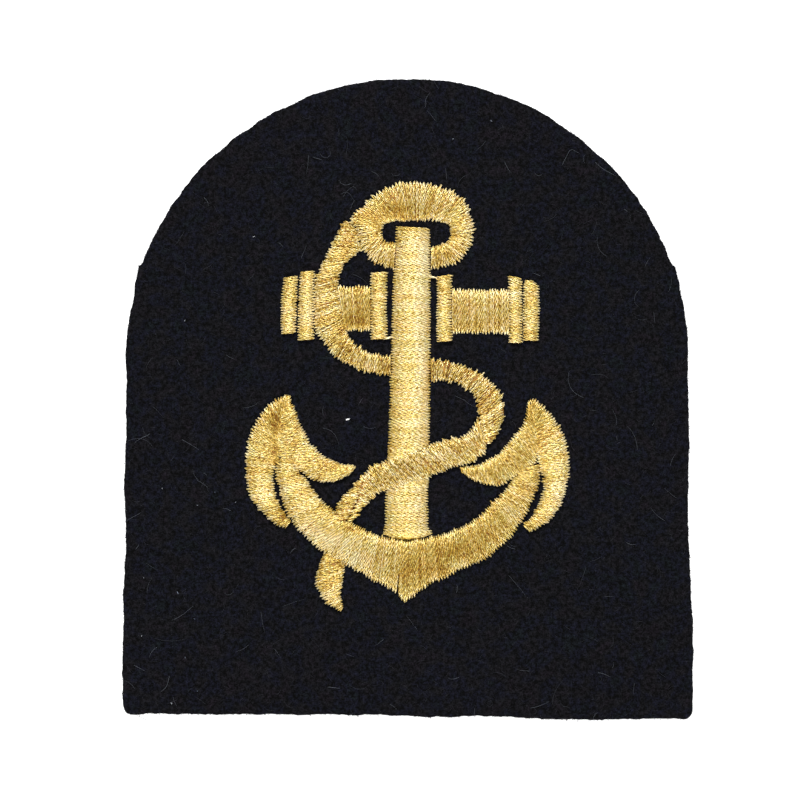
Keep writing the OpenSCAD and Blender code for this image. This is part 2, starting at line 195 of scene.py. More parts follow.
BLADE_RIGHT_INNER = [
    [6.9, -8.9, 7, -9.4], [7.2, -8.85, 7.6, -9.8], [7.9, -8.8, 8.7, -10.5], [8.8, -8.6, 10.2, -11],
    [9.9, -8.2, 12, -11.1], [11.05, -7.6, 13.7, -10.2], [11.95, -6.9, 15.2, -9.4], [12.9, -6, 16.6, -8.3],
    [13.7, -4.9, 16.85, -6.8], [14.6, -3.8, 16.7, -5.1], [15.2, -2.7, 16.55, -3.7],
    [15.5, -1.9, 16.45, -2.8], [15.6, -1, 16.3, -2], [15.75, -0.2, 16.1, -1.3],
]
BLADE_RIGHT_OUTER = [
    [16, 0, 16.15, -1.2], [16.7, -0.1, 16.35, -1.9], [17.3, -0.6, 16.45, -2.6], [18.2, -1.4, 16.55, -3.5],
    [19.1, -2.6, 16.65, -4.8], [20.1, -4, 16.8, -6], [20.7, -5.8, 16.95, -7.4], [21.05, -7.7, 17.35, -8.8],
    [21.05, -9.8, 17.8, -10.3], [20.6, -11.8, 17.75, -11.9], [20, -13.6, 17.2, -13.6],
    [19, -15.2, 16.6, -14.8], [17.75, -16.3, 15.95, -15.65], [16.5, -17.1, 15.3, -16.2],
    [15.9, -17.2, 15.15, -16.5],
]
# Single threads that jump from a collar to the shank
JUMPS = {
    "stock_left_inner": [-3.1, 7.8, -1.8, 8.1],
    "stock_right_inner": [3.9, 15.7, 2.8, 15.95],
}


def smooth(rows, steps=SECTION_STEPS):
    """A table's rows with smooth sections between them, by the same curve as the frame's part."""
    rows = np.array(rows, float)
    padded = np.concatenate([rows[:1], rows, rows[-1:]])
    sections = []
    for p, q, r, s in zip(padded, padded[1:], padded[2:], padded[3:]):
        for t in np.arange(steps) / steps:
            square = 2 * p - 5 * q + 4 * r - s
            cube = 3 * q - p - 3 * r + s
            sections.append(0.5 * (2 * q + (r - p) * t + square * t**2 + cube * t**3))
    return np.array(sections + [rows[-1]])


def lengthen(rows, start, end):
    """Rows with one more at each end, further along by start and end."""
    def beyond(first, second, length):
        away = first - second
        return first + away * length / max(np.linalg.norm(away[:2]), np.linalg.norm(away[2:]))
    return np.concatenate([[beyond(rows[0], rows[1], start)], rows, [beyond(rows[-1], rows[-2], end)]])


def strip(guides, spread=(0.05, 0.05), ends=(0.08, 0.08), curved=True, **settings):
    """The plan of one strip of satin stitch. Its needle holes lie further out than its guide
    stitches by spread, and it goes on past the first and last of them by ends. seam is where its
    stitches stay high against another strip's: on which side, and between which shares of its
    length. tone makes it paler or deeper, as painted light and shade, and loose less even.
    The larger crest is, the further up its sides slope. tips is the painted highlight on its stitches'
    ends."""
    rows = smooth(guides) if curved else np.array(guides, float)
    plan = {"seam": None, "tone": 0, "loose": 1, "crest": 0.8, "tip_highlights": 1, **settings}
    return {"rows": lengthen(rows, *ends), "spread": spread, **plan}


# Painted light and shade, where the gold is painted paler or deeper: x, y, half width, half height, and the
# change of tone
PAINTED_LIGHT_PATCHES = [
    [-0.6, 24.6, 2.6, 0.8, -0.24], [0, 26.4, 3.5, 0.7, 0.07], [1.8, 24.4, 0.6, 0.9, -0.15],
    [-5.2, 23.8, 2, 1.1, -0.2], [-3.8, 22, 0.6, 1.2, -0.25], [0.3, 23.5, 2.4, 0.5, -0.25],
    [5.5, 21.2, 0.6, 1.5, -0.3], [7.9, 22.8, 0.8, 2.6, 0.22], [-2.3, 20.4, 1.2, 0.6, -0.4],
    [3.8, 19.8, 0.8, 0.8, -0.3], [-3.2, 19, 2, 1, 0.15], [2.3, 18.7, 0.8, 1.4, 0.32],
    [0.5, 22.3, 1.6, 0.5, -0.15], [1.7, 8, 0.9, 14, 0.2], [-2.3, 3, 0.9, 15, -0.15],
    [3.1, 1.5, 0.4, 5, -0.35], [3.6, 4.9, 1, 0.6, -0.25], [0.2, 4, 1.3, 1.2, -0.24],
    [1.6, -14.2, 0.7, 2, 0.12], [-11.2, 13.6, 1.2, 2.2, 0.15], [-10.6, 8.8, 1.6, 1.2, 0.15],
    [-8.6, 9.4, 0.9, 1.2, -0.25], [-4.8, 4.7, 2.4, 0.9, 0.18], [9.3, -1, 0.5, 2.2, -0.25],
    [3.3, -6.1, 1.3, 0.7, -0.2], [-4.2, -8.8, 1.4, 0.7, -0.2], [1.2, -8.6, 2.4, 1.6, -0.2],
    [-2.2, -9.6, 1.2, 0.8, 0.14], [0.6, -11.2, 1.8, 0.5, -0.14], [2.8, -9.6, 0.7, 0.6, -0.2],
    [-9, -13.4, 0.8, 0.8, 0.2], [-8, -15.5, 1, 0.8, -0.2], [3.9, -7.4, 2, 1, 0.2],
    [-9.2, -21.4, 1.2, 0.7, -0.2], [-9.8, -26, 1.4, 1.2, 0.3], [-6.6, 10, 2.2, 1.2, -0.3],
    [-7, 14.4, 2.6, 0.5, -0.25], [-5, 12.6, 0.7, 1.6, -0.2], [8.6, 14.2, 4.5, 0.5, -0.25],
    [8.2, 9.2, 3, 1, -0.25], [13.8, 13.5, 1.1, 1.5, 0.15], [-3.4, 12.8, 0.8, 2, 0.12],
    [2.5, -22.3, 3.2, 1.4, -0.12], [5.5, -19.8, 4, 1.2, -0.15], [0.2, -21.6, 1.6, 3, -0.12],
    [-0.5, -18.1, 3, 0.4, -0.25], [13, -16.2, 2.2, 1.6, 0.15], [7.4, -21.5, 1.8, 0.6, 0.2],
    [-10.4, -18.4, 3, 1.5, 0.26], [-13.1, -17, 1.4, 1.2, 0.2], [-6.9, -20.9, 1.5, 1.1, 0.26],
    [-6.3, -16.9, 3, 0.7, -0.4], [-9.8, -14.3, 1.4, 0.9, -0.3], [-15.8, -12.5, 0.7, 1, 0.2],
    [-17, -3, 1.1, 2, -0.3], [-17.1, -7.2, 0.5, 1.5, -0.35], [-16.2, -15.2, 1, 0.8, -0.4],
    [-14.4, -2, 0.7, 2.4, -0.12], [-9.4, -8.9, 1.8, 0.7, -0.15], [17.1, -5, 0.6, 3.2, -0.22],
    [15.4, -1.9, 0.7, 0.9, -0.18], [-18.9, -12.6, 1.3, 2.2, 0.25], [17.8, -8.2, 0.6, 1.2, -0.18],
    [16, -11.2, 0.8, 0.8, 0.15], [19.8, -12, 1.3, 2.9, 0.34], [16.8, -14.2, 0.6, 0.9, -0.2],
    [15.8, -16.3, 0.8, 0.8, -0.2],
]

# A strip's two sides, a seam all along it, and settings that strips share
FROM, TO = 0, 1
WHOLE = (-0.1, 1.1)
# Their tone is painted light and shade for how the strips catch the lamps, and tips a painted highlight on
# their stitches' ends
SHANK = {"tone": 0.1, "loose": 0.5, "crest": 1.5, "tip_highlights": 0.2, "curved": False}
COLLAR = {"tone": 0.04, "loose": 0.5}
PANEL = {"ends": (0.15, 0.15), "tone": 0.07, "crest": 1.2}
ARM = {"spread": (0.08, 0.05), "tip_highlights": 0.5}

# Each node's rise above the cloth, and the strips that it is sewn in
# A strip's tone is painted light and shade: paler where its stitches catch more of the lamps, deeper where
# they catch less
STRIPS = {
    "shank_upper": (0.75, [strip(SHANK_UPPER, ends=(0.05, 0.1), **SHANK)]),
    "shank_lower": (0.75, [strip(SHANK_LOWER, ends=(0.1, 0), **SHANK)]),
    "ring": (0.65, [strip(RING, spread=(0.1, 0.05), ends=(0.12, 0.12), tone=0.01, loose=1.35, crest=1)]),
    "cable_upper": (0.65, [
        strip(CABLE_UPPER, spread=(0.05, 0.15), ends=(0.05, 0.15), tone=-0.08, loose=1.8)]),
    "cable_bight": (0.65, [
        strip(CABLE_BIGHT, spread=(0.05, 0.3), ends=(0.15, 0), seam=(TO, 0.62, 1.1), tone=-0.02,
              loose=2.3)]),
    "cable_crossing": (0.9, [
        strip(CABLE_CROSSING, spread=(0.1, 0.1), ends=(0.5, 0.25), tone=0.03, loose=2.1)]),
    "cable_lower": (0.65, [
        strip(CABLE_LOWER_LEFT, spread=(0.05, 0.03), ends=(0.25, 0.1), seam=(TO, *WHOLE), loose=1.8),
        strip(CABLE_LOWER_RIGHT, spread=(0.03, 0.05), ends=(0.3, 0.1), seam=(FROM, *WHOLE), loose=1.8)]),
    "cable_tail": (0.65, [strip(CABLE_TAIL, ends=(0.1, 0.05), tone=-0.1, loose=1.3)]),
    "stock_left_end": (0.65, [strip(STOCK_LEFT_END, **COLLAR)]),
    "stock_left_outer": (0.65, [strip(STOCK_LEFT_OUTER, **COLLAR)]),
    "stock_left_panel": (0.55, [strip(STOCK_LEFT_PANEL, **PANEL)]),
    "stock_left_inner": (0.65, [strip(STOCK_LEFT_INNER, **COLLAR)]),
    "stock_right_inner": (0.65, [strip(STOCK_RIGHT_INNER, **COLLAR)]),
    "stock_right_panel": (0.55, [strip(STOCK_RIGHT_PANEL, **PANEL)]),
    "stock_right_outer": (0.65, [strip(STOCK_RIGHT_OUTER, **COLLAR)]),
    "stock_right_end": (0.65, [strip(STOCK_RIGHT_END, **COLLAR)]),
    "crown_arms": (0.8, [
        strip(ARM_LEFT, ends=(0.2, 0), tone=0.05, **ARM),
        strip(ARM_RIGHT, ends=(0, 0.4), tone=-0.06, **ARM)]),
    "blade_left_outer": (0.7, [
        strip(BLADE_LEFT_OUTER, spread=(0.05, 0.15), seam=(TO, -0.1, 0.5), tone=-0.06)]),
    "blade_left_inner": (0.7, [strip(BLADE_LEFT_INNER, spread=(0.05, 0.1), seam=(TO, -0.1, 0.6))]),
    "blade_right_inner": (0.7, [
        strip(BLADE_RIGHT_INNER, spread=(0.05, 0.2), seam=(TO, 0.4, 1.1), tone=-0.06)]),
    "blade_right_outer": (0.7, [strip(BLADE_RIGHT_OUTER, spread=(0.05, 0.2), seam=(TO, -0.1, 0.48))]),
}


def put_in_scene(name, data):
    made = bpy.data.objects.new(name, data)
    bpy.context.scene.collection.objects.link(made)
    return made


def look_down():
    """The camera, straight above the middle of the photograph."""
    half = IMAGE_PX / 2
    at_x = (half - BADGE_CENTRE_PX[0]) * MM_PER_PX
    at_y = (BADGE_CENTRE_PX[1] - half) * MM_PER_PX
    data = bpy.data.cameras.new("camera")
    data.sensor_width = SENSOR_MM
    data.lens = SENSOR_MM * (CAMERA_HEIGHT - CLOTH_T) / (IMAGE_PX * MM_PER_PX)
    data.clip_start = CLIP_START_M
    camera = put_in_scene("camera", data)
    camera.location = Vector((at_x, at_y, CAMERA_HEIGHT)) * MM
    bpy.context.scene.camera = camera


look_down()


# Materials

def feed(tree, node, inputs):
    """Sets a node's inputs, by name or number, to values or to other nodes' sockets."""
    for key, value in inputs.items():
        if isinstance(value, bpy.types.NodeSocket):
            tree.links.new(value, node.inputs[key])
        else:
            node.inputs[key].default_value = value


class Nodes:
    """A new material and the nodes that lead to its shader. Sizes are in millimetres."""

    def __init__(self, name):
        self.material = bpy.data.materials.new(name)
        self.material.use_nodes = True
        self.tree = self.material.node_tree

    def finish(self, inputs):
        """The material, with the inputs of its shader set."""
        feed(self.tree, self.tree.nodes["Principled BSDF"], inputs)
        return self.material

    def add(self, kind, inputs=None, **settings):
        made = self.tree.nodes.new("ShaderNode" + kind)
        for key, value in settings.items():
            setattr(made, key, value)
        feed(self.tree, made, inputs or {})
        return made

    def math(self, operation, *values):
        return self.add("Math", dict(enumerate(values)), operation=operation).outputs[0]

    def swing(self, value, gain):
        """A value round 0.5, such as noise, as one round 0."""
        return self.math("MULTIPLY_ADD", value, gain, -gain / 2)

    def spread(self, value, to_low, to_high, from_low=0.0, from_high=1.0):
        """A value in one range, spread over another."""
        return self.add("MapRange", {"Value": value, "From Min": from_low, "From Max": from_high,
                                     "To Min": to_low, "To Max": to_high}).outputs[0]

    def scaled(self, colour, scale):
        return self.add("VectorMath", {0: colour, "Scale": scale}, operation="SCALE").outputs[0]

    def attribute(self, name):
        return self.add("Attribute", attribute_name=name).outputs["Fac"]

    def noise(self, size, detail=3.0):
        """Noise whose features are about as large as size, placed in the row frame."""
        place = self.add("TexCoord").outputs["Object"]
        scale = 1 / (size * MM)
        return self.add("TexNoise", {"Vector": place, "Scale": scale, "Detail": detail}).outputs[0]

    def ramp(self, value, stops):
        """A colour ramp: stops are (position, colour)."""
        made = self.add("ValToRGB", {"Fac": value})
        band = made.color_ramp
        while len(band.elements) < len(stops):
            band.elements.new(0.5)
        for element, (position, colour) in zip(band.elements, stops):
            element.position = position
            element.color = (*colour, 1)
        return made.outputs["Color"]

    def relief(self, height, depth, strength):
        return self.add("Bump", {"Height": height, "Distance": depth * MM, "Strength": strength}).outputs[0]


# Gold thread: its flecks are painted glints along it, the lowest of them dark dashes of painted shade, and
# its filaments show as slanting lines
FLECK_MM = 0.28
STRANDS_APART = 300
PAINTED_GLINT_GAIN = 1.2
PAINTED_SHADE_DASH_BELOW = 0.38
PAINTED_SHADE_DASH_GAIN = 3.5
PATCH_GAIN = 0.4
# Painted highlight on the stitches' ends, where they dip to their holes: their tone is painted paler and
# their colour lighter
TIP_HIGHLIGHT_PALER = 0.9
TIP_HIGHLIGHT_LIGHTER = 0.35
# Painted light and shade of the plies: their tops painted lighter, the grooves between them painted darker
# as shade
PLY_PAINTED_LIGHT, GROOVE_PAINTED_SHADE = 1.15, 0.25
FILAMENT_MM = 0.21
FILAMENT_SLANT = 3


def thread_flecks(nodes):
    """Noise drawn out along the thread, apart in each stroke."""
    along = nodes.math("DIVIDE", nodes.attribute("run"), FLECK_MM)
    strand = nodes.math("MULTIPLY", nodes.attribute("strand"), STRANDS_APART)
    place = nodes.add("CombineXYZ", {"X": along, "Y": strand, "Z": nodes.attribute("turn")}).outputs[0]
    return nodes.add("TexNoise", {"Vector": place, "Scale": 1, "Detail": 2}).outputs[0]


def thread_tone(nodes, flecks):
    """How pale the gold is painted: its stitch's tone, random patches, painted tip highlights, glints and
    shade.
    """
    dark = nodes.math("MINIMUM", nodes.math("SUBTRACT", flecks, PAINTED_SHADE_DASH_BELOW), 0)
    total = nodes.attribute("tone")
    for part in (nodes.swing(nodes.noise(3), PATCH_GAIN),
                 nodes.math("MULTIPLY", nodes.attribute("tip_highlight"), TIP_HIGHLIGHT_PALER),
                 nodes.swing(flecks, PAINTED_GLINT_GAIN),
                 nodes.math("MULTIPLY", dark, PAINTED_SHADE_DASH_GAIN)):
        total = nodes.math("ADD", total, part)
    return total


def thread_colour(nodes, flecks):
    colour = nodes.ramp(thread_tone(nodes, flecks), [
        (0, (0.23, 0.08, 0)),
        (0.25, (0.45, 0.272, 0.022)),
        (0.5, (0.68, 0.5, 0.125)),
        (0.75, (0.83, 0.68, 0.35)),
        (1, (0.97, 0.83, 0.53)),
    ])
    tint = nodes.ramp(nodes.noise(1.8), [(0.3, (1.05, 0.97, 0.9)), (0.7, (0.97, 1.02, 1))])
    tinted = nodes.add("VectorMath", {0: colour, 1: tint}, operation="MULTIPLY").outputs[0]
    # Painted shade in the ply grooves and painted light on the ply tops, plus the painted highlight at the
    # stitch ends
    light = nodes.spread(nodes.attribute("groove"), PLY_PAINTED_LIGHT, GROOVE_PAINTED_SHADE)
    return nodes.scaled(tinted, nodes.math("MULTIPLY_ADD", nodes.attribute("tip_highlight"), TIP_HIGHLIGHT_LIGHTER, light))


def filament_relief(nodes):
    along = nodes.math("DIVIDE", nodes.attribute("run"), FILAMENT_MM)
    slant = nodes.math("MULTIPLY", nodes.attribute("turn"), FILAMENT_SLANT)
    phase = nodes.math("MULTIPLY", nodes.math("ADD", along, slant), math.tau)
    return nodes.relief(nodes.math("SINE", phase), depth=0.004, strength=0.6)


def gold_thread():
    """Lustrous gold embroidery thread; its tone varies at random and by painted light and shade."""
    nodes = Nodes("gold_thread")
    flecks = thread_flecks(nodes)
    return nodes.finish({
        "Base Color": thread_colour(nodes, flecks),
        "Metallic": 0.45,
        "IOR": 1.8,
        "Specular IOR Level": 0.62,
        "Specular Tint": (1, 0.91, 0.64, 1),
        "Roughness": nodes.spread(flecks, 0.28, 0.44),
        "Normal": filament_relief(nodes),
    })


def underlay():
    """The padding stitches below the satin, in the same thread but in shade."""
    nodes = Nodes("gold_underlay")
    colour = nodes.ramp(nodes.noise(0.4), [(0.3, (0.18, 0.065, 0)), (0.7, (0.36, 0.165, 0.02))])
    return nodes.finish({"Base Color": colour, "Roughness": 0.6})


def navy_wool():
    """Fulled wool, navy so dark that it is nearly black, with faint teal, navy and brown patches."""
    nodes = Nodes("navy_wool")
    patches = nodes.ramp(nodes.noise(2.2, detail=2), [
        (0.3, (0.0016, 0.0022, 0.0028)),
        (0.43, (0.0016, 0.0017, 0.0036)),
        (0.55, (0.0019, 0.0019, 0.0024)),
        (0.7, (0.0024, 0.0019, 0.0028)),
    ])
    nap = nodes.math("MULTIPLY", nodes.noise(0.5, detail=5), nodes.noise(0.2))
    return nodes.finish({
        "Base Color": nodes.scaled(patches, nodes.spread(nap, 0, 4.5, from_low=0.17, from_high=0.44)),
        "Roughness": 0.95,
        "Specular IOR Level": 0.08,
        "Sheen Weight": 0.005,
        "Sheen Roughness": 0.6,
        "Sheen Tint": (0.55, 0.6, 0.8, 1),
        "Normal": nodes.relief(nap, depth=0.25, strength=0.8),
    })


def fibre_material(name, stops):
    """Single fibres, whose tone varies from one to the next."""
    nodes = Nodes(name)
    colour = nodes.ramp(nodes.attribute("tone"), stops)
    return nodes.finish({"Base Color": colour, "Roughness": 0.7, "Specular IOR Level": 0.2})


GOLD = gold_thread()
UNDERLAY = underlay()
WOOL = navy_wool()
WOOL_FIBRE = fibre_material("wool_fibre", [
    (0, (0.003, 0.003, 0.0045)),
    (0.8, (0.012, 0.012, 0.017)),
    (1, (0.04, 0.042, 0.053)),
])
PALE_FIBRE = fibre_material("pale_fibre", [(0, (0.02, 0.022, 0.03)), (1, (0.1, 0.11, 0.13))])
LINT = fibre_material("lint", [(0, (0.06, 0.09, 0.15)), (0.5, (0.3, 0.31, 0.33)), (1, (0.8, 0.8, 0.8))])


# Meshes

def new_piece(name, points, faces, materials, values=None, picks=None):
    """A smooth mesh, with named values for its points and the numbers of its faces' materials."""
    mesh = bpy.data.meshes.new(name)
    mesh.from_pydata((points * MM).tolist(), [], faces)
    mesh.shade_smooth()
    for material in materials:
        mesh.materials.append(material)
    if picks is not None:
        mesh.polygons.foreach_set("material_index", picks)
    for key, numbers in (values or {}).items():
        layer = mesh.attributes.new(key, "FLOAT", "POINT")
        layer.data.foreach_set("value", np.asarray(numbers, np.float32))
    mesh.update()
    obj = put_in_scene(name, mesh)
    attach(obj, "root")
    return obj


def unit(vectors):
    return vectors / np.maximum(np.linalg.norm(vectors, axis=-1, keepdims=True), 1e-9)


def running_sum(steps):
    """The sums of all steps so far along the last axis, from 0."""
    sums = np.cumsum(steps, axis=-1)
    return np.concatenate([np.zeros_like(sums[..., :1]), sums], axis=-1)


def along_line(at, travel, line):
    """A line's points at some places along it, where travel is the places of its own points."""
    return np.stack([np.interp(at, travel, column) for column in line.T], axis=-1)


def level_across(ahead):
    """The level directions to the left of some others."""
    return np.stack([-ahead[..., 1], ahead[..., 0], np.zeros(ahead.shape[:-1])], axis=-1)


def tube_faces(shape):
    """Faces of closed tubes whose points are numbered as an array of (tubes, stations, sides)."""
    index = np.arange(np.prod(shape)).reshape(shape)
    beside = np.roll(index, -1, axis=2)
    walls = np.stack([index[:, :-1], beside[:, :-1], beside[:, 1:], index[:, 1:]], axis=-1)
    return walls.reshape(-1, 4).tolist() + index[:, 0, ::-1].tolist() + index[:, -1].tolist()


def around(paths, across, reach, angle):
    """Points round many paths, at a reach and angle for each of (tubes, stations, sides). across
    is level and square to the path."""
    up = unit(np.cross(unit(np.gradient(paths, axis=1)), across))
    return (paths[:, :, None]
            + across[:, :, None] * (reach * np.cos(angle))[..., None]
            + up[:, :, None] * (reach * np.sin(angle))[..., None])


def join(parts):
    """Meshes of (points, faces, values) joined into one."""
    points, faces, values, start = [], [], {}, 0
    for some_points, some_faces, some_values in parts:
        points.append(some_points)
        faces += [[start + i for i in face] for face in some_faces]
        for key, numbers in some_values.items():
            values.setdefault(key, []).append(numbers)
        start += len(some_points)
    return np.concatenate(points), faces, {key: np.concatenate(some) for key, some in values.items()}


# Satin stitch: a pitch holds two strokes, one to and one fro
TOOTH_PITCH = 0.36
LONG_EDGE, SHORT_EDGE = 0.6, 0.4
SLIM_RISE = 0.45
NARROW = 0.2

# How uneven the strokes are, as spreads: slip and bow are in lanes
SLIP = 0.22
BOW = 0.09
HOLE_REACH, END_REACH = 0.08, 0.02
RISE_SPREAD = 0.035
SWELL = 0.07
TONE_SPREAD, TONE_LOOSE = 0.04, 0.05
MOTTLE_SPREAD, MOTTLE_LOOSE = 0.02, 0.08

# A stroke fans out to its holes, where it is thinner and dips into the cloth
FAN_OUT = 0.5
FAN_SHARES = (0.1, 0.27)
LANE_MARGIN = 0.4
CROWDING = 0.25
END_SIZE, SIZE_GAIN = 0.68, 0.32
THREAD_SINK = 0.09
HOLE_DEPTH = 0.25
HOLE_STEEP = 8

# At a seam, stitches keep a share of their rise
SEAM_HOLD = 0.55
SEAM_FADE = 0.08
SEAM_SHALLOW = 0.6

# The shank's threads, where the cable's stitches cross them
BED_X, BED_HALF, BED_RISE = 0.2, 2.8, 0.72
BED_ROUND = 0.4
BED_FADE = 0.8
BED_SHALLOW = 0.7

# The padding
CORE_ACROSS = 9
CORE_INSET = 0.24
CORE_BELOW = 0.14
CORE_SINK = 0.08
THREAD_VALUES = ("tone", "strand", "run", "turn", "groove", "tip_highlight")


def ease(t):
    t = np.clip(t, 0, 1)
    return t * t * (3 - 2 * t)


def hold(seam, along, share):
    """The share of their rise that stitches keep, at places along the strip and the stitch."""
    if seam is None:
        return np.zeros(np.broadcast(along, share).shape)
    side, first, last = seam
    inside_seam = ease((along - first) / SEAM_FADE + 0.5) * ease((last - along) / SEAM_FADE + 0.5)
    return SEAM_HOLD * inside_seam * (share if side == TO else 1 - share)


def bed(points):
    """The height of the shank's threads above the cloth, at the crossing."""
    return BED_RISE * np.clip(1 - ((points[..., 0] - BED_X) / BED_HALF) ** 2, 0, 1) ** BED_ROUND


class Strip:
    """One strip's many strokes of thread, laid to and fro between its edges.
    A lane is the room of one stroke: two strokes share each needle hole."""

    def __init__(self, plan, rise, on_shank, rng):
        self.plan, self.rise, self.on_shank, self.rng = plan, rise, on_shank, rng
        self.sides = [plan["rows"][:, :2], plan["rows"][:, 2:]]
        steps = [np.linalg.norm(np.diff(side, axis=0), axis=1) for side in self.sides]
        self.travel = running_sum(LONG_EDGE * np.maximum(*steps) + SHORT_EDGE * np.minimum(*steps))
        self.count = 2 * max(2, round(self.travel[-1] / TOOTH_PITCH))
        start, end = self.edges(np.arange(self.count) + 0.5)
        self.width = np.linalg.norm(end - start, axis=-1)
        self.vary()

    def vary(self):
        """Draws what sets each stroke apart."""
        rng, count, loose = self.rng, self.count, self.plan["loose"]
        number = np.arange(count)
        hole_count = count // 2 + 1
        holes = (number + 1) // 2, number // 2
        self.slip = [rng.normal(0, SLIP * loose, hole_count)[hole] for hole in holes]
        self.reach = [rng.normal(-spread, HOLE_REACH * loose, hole_count)[hole]
                      + rng.normal(0, END_REACH, count)
                      for spread, hole in zip(self.plan["spread"], holes)]
        self.bow = rng.normal(0, BOW * loose, (2, count))
        self.lift = rng.normal(0, RISE_SPREAD * loose, count)
        tone = rng.normal(0.5 + self.plan["tone"], TONE_SPREAD + TONE_LOOSE * loose, count)
        self.tone = np.clip(tone, 0.02, 0.98)
        self.phase = rng.uniform(0, math.tau, count)
        self.swell = 1 + rng.normal(0, SWELL, count)

    def edges(self, lane):
        """The points on both edges at some places along the strip, counted in lanes."""
        at = lane / self.count * self.travel[-1]
        return [along_line(at, self.travel, side) for side in self.sides]

    def lanes(self, number, share):
        """Where along the strip each point of a stroke lies, from hole to hole."""
        half = np.where(number % 2 == 0, 0.5, -0.5)
        fan = np.clip(FAN_OUT / np.maximum(self.width[number], NARROW), *FAN_SHARES)
        lane = (number + 0.5
                + (self.slip[0][number] - half) * (1 - ease(share / fan))
                + (self.slip[1][number] + half) * (1 - ease((1 - share) / fan))
                + self.bow[0][number] * np.sin(math.pi * share)
                + self.bow[1][number] * np.sin(math.tau * share))
        return np.clip(lane, LANE_MARGIN, self.count - LANE_MARGIN)

    def heights(self, number, share, bulge, ground):
        high = np.minimum(self.rise, SLIM_RISE * self.width[number]) + self.lift[number]
        held = hold(self.plan["seam"], number / self.count, share)
        depth = HOLE_DEPTH * (1 - SEAM_SHALLOW * held - BED_SHALLOW * ground / BED_RISE)
        return (CLOTH_T - THREAD_SINK
                + high * (held + (1 - held) * bulge ** self.plan["crest"])
                - depth * (1 - bulge) ** HOLE_STEEP
                + ground * (1 - bulge) ** BED_FADE)

    def paths(self, picked, stations):
        """The picked strokes' paths, the level direction across each, and their bulge, 1 midway."""
        number = picked[:, None]
        even = np.linspace(0, 1, stations)[None]
        share = (1 - CROWDING) * even + CROWDING * (1 - np.cos(math.pi * even)) / 2
        bulge = 2 * np.sqrt(np.clip(share * (1 - share), 0, None))
        start, end = self.edges(self.lanes(number, share))
        width = np.maximum(self.width[number], NARROW)
        first, last = self.reach[0][number] / width, 1 - self.reach[1][number] / width
        place = (first + (last - first) * share)[:, :, None]
        flat = start * (1 - place) + end * place
        z = self.heights(number, share, bulge, bed(flat) if self.on_shank else 0.0)
        across = level_across(unit(end - start + 1e-9))
        return np.concatenate([flat, z[:, :, None]], axis=-1), across, bulge

    def threads(self):
        """All its strokes as parts of a mesh, a part for those with as many stations."""
        stations = 4 * np.ceil((self.width / STATION_MM + 5) / 4).astype(int)
        mottling = MOTTLE_SPREAD + MOTTLE_LOOSE * self.plan["loose"]
        parts = []
        for number in np.unique(stations):
            picked = np.flatnonzero(stations == number)
            paths, across, bulge = self.paths(picked, number)
            size = self.swell[picked][:, None] * (END_SIZE + SIZE_GAIN * np.minimum(1, 1.6 * bulge))
            mottle = self.rng.normal(0, mottling, paths.shape[:2])
            # A painted highlight, strongest at the stitch's ends
            tip_highlight = self.plan["tip_highlights"] * (1 - bulge) ** 2
            parts.append(twisted(paths, across, size, self.phase[picked], self.tone[picked], mottle, tip_highlight))
        return parts


def painted_light_change(points):
    """How much paler or deeper the gold is painted at each point, as painted light and shade."""
    change = np.zeros(points.shape[:-1])
    for x, y, half_x, half_y, amount in PAINTED_LIGHT_PATCHES:
        away = ((points[..., 0] - x) / half_x) ** 2 + ((points[..., 1] - y) / half_y) ** 2
        change += amount * np.exp(-away)
    return change


def twisted(paths, across, size, phase, tone, mottle, tip_highlight):
    """Two-ply threads along the paths, as one part of a mesh."""
    run = running_sum(np.linalg.norm(np.diff(paths, axis=1), axis=-1))
    radius, corner, groove = np.array(SECTION).T
    angle = (math.tau * run / TWIST_MM + phase[:, None])[:, :, None] + np.radians(corner)
    points = around(paths, across, size[:, :, None] * radius, angle)
    shape = points.shape[:3]
    values = {
        # each stroke's random tone, with painted light and shade from the patches
        "tone": (tone[:, None] + mottle + painted_light_change(paths))[:, :, None],
        "strand": tone[:, None, None],
        "run": (run + phase[:, None])[:, :, None],
        "turn": np.arange(len(SECTION)) / len(SECTION),
        "groove": groove,
        "tip_highlight": tip_highlight[:, :, None],
    }
    values = {key: np.broadcast_to(numbers, shape).ravel() for key, numbers in values.items()}
    return points.reshape(-1, 3), tube_faces(shape), values


def core(plan, rise):
    """The padding under one strip: a closed low dome inside its stitches."""
    rows = plan["rows"]
    starts, ends = rows[:, None, :2], rows[:, None, 2:]
    width = np.linalg.norm(ends - starts, axis=-1)
    angle = np.linspace(0, math.pi, CORE_ACROSS)[None]
    inset = np.minimum(CORE_INSET / np.maximum(width, 0.1), 0.35)
    along = np.linspace(0, 1, len(rows))[:, None]
    near, far = [inset * (1 - hold(plan["seam"], along, side) / SEAM_HOLD) for side in (FROM, TO)]
    share = (near + (1 - near - far) * (1 - np.cos(angle)) / 2)[:, :, None]
    flat = starts * (1 - share) + ends * share
    held = hold(plan["seam"], along, share[..., 0])
    high = np.maximum(np.minimum(rise, SLIM_RISE * width) - CORE_BELOW, 0.03)
    arch = np.clip(np.sin(angle), 0, 1) ** (plan["crest"] + 0.2)
    dome = np.where(np.sin(angle) > 1e-6, held + (1 - held) * arch, 0.0)
    z = CLOTH_T - CORE_SINK + (high + CORE_SINK) * dome
    points = np.concatenate([flat, z[:, :, None]], axis=-1).reshape(-1, 3)
    faces = tube_faces((1, len(rows), CORE_ACROSS))
    return points, faces, dict.fromkeys(THREAD_VALUES, np.zeros(len(points)))


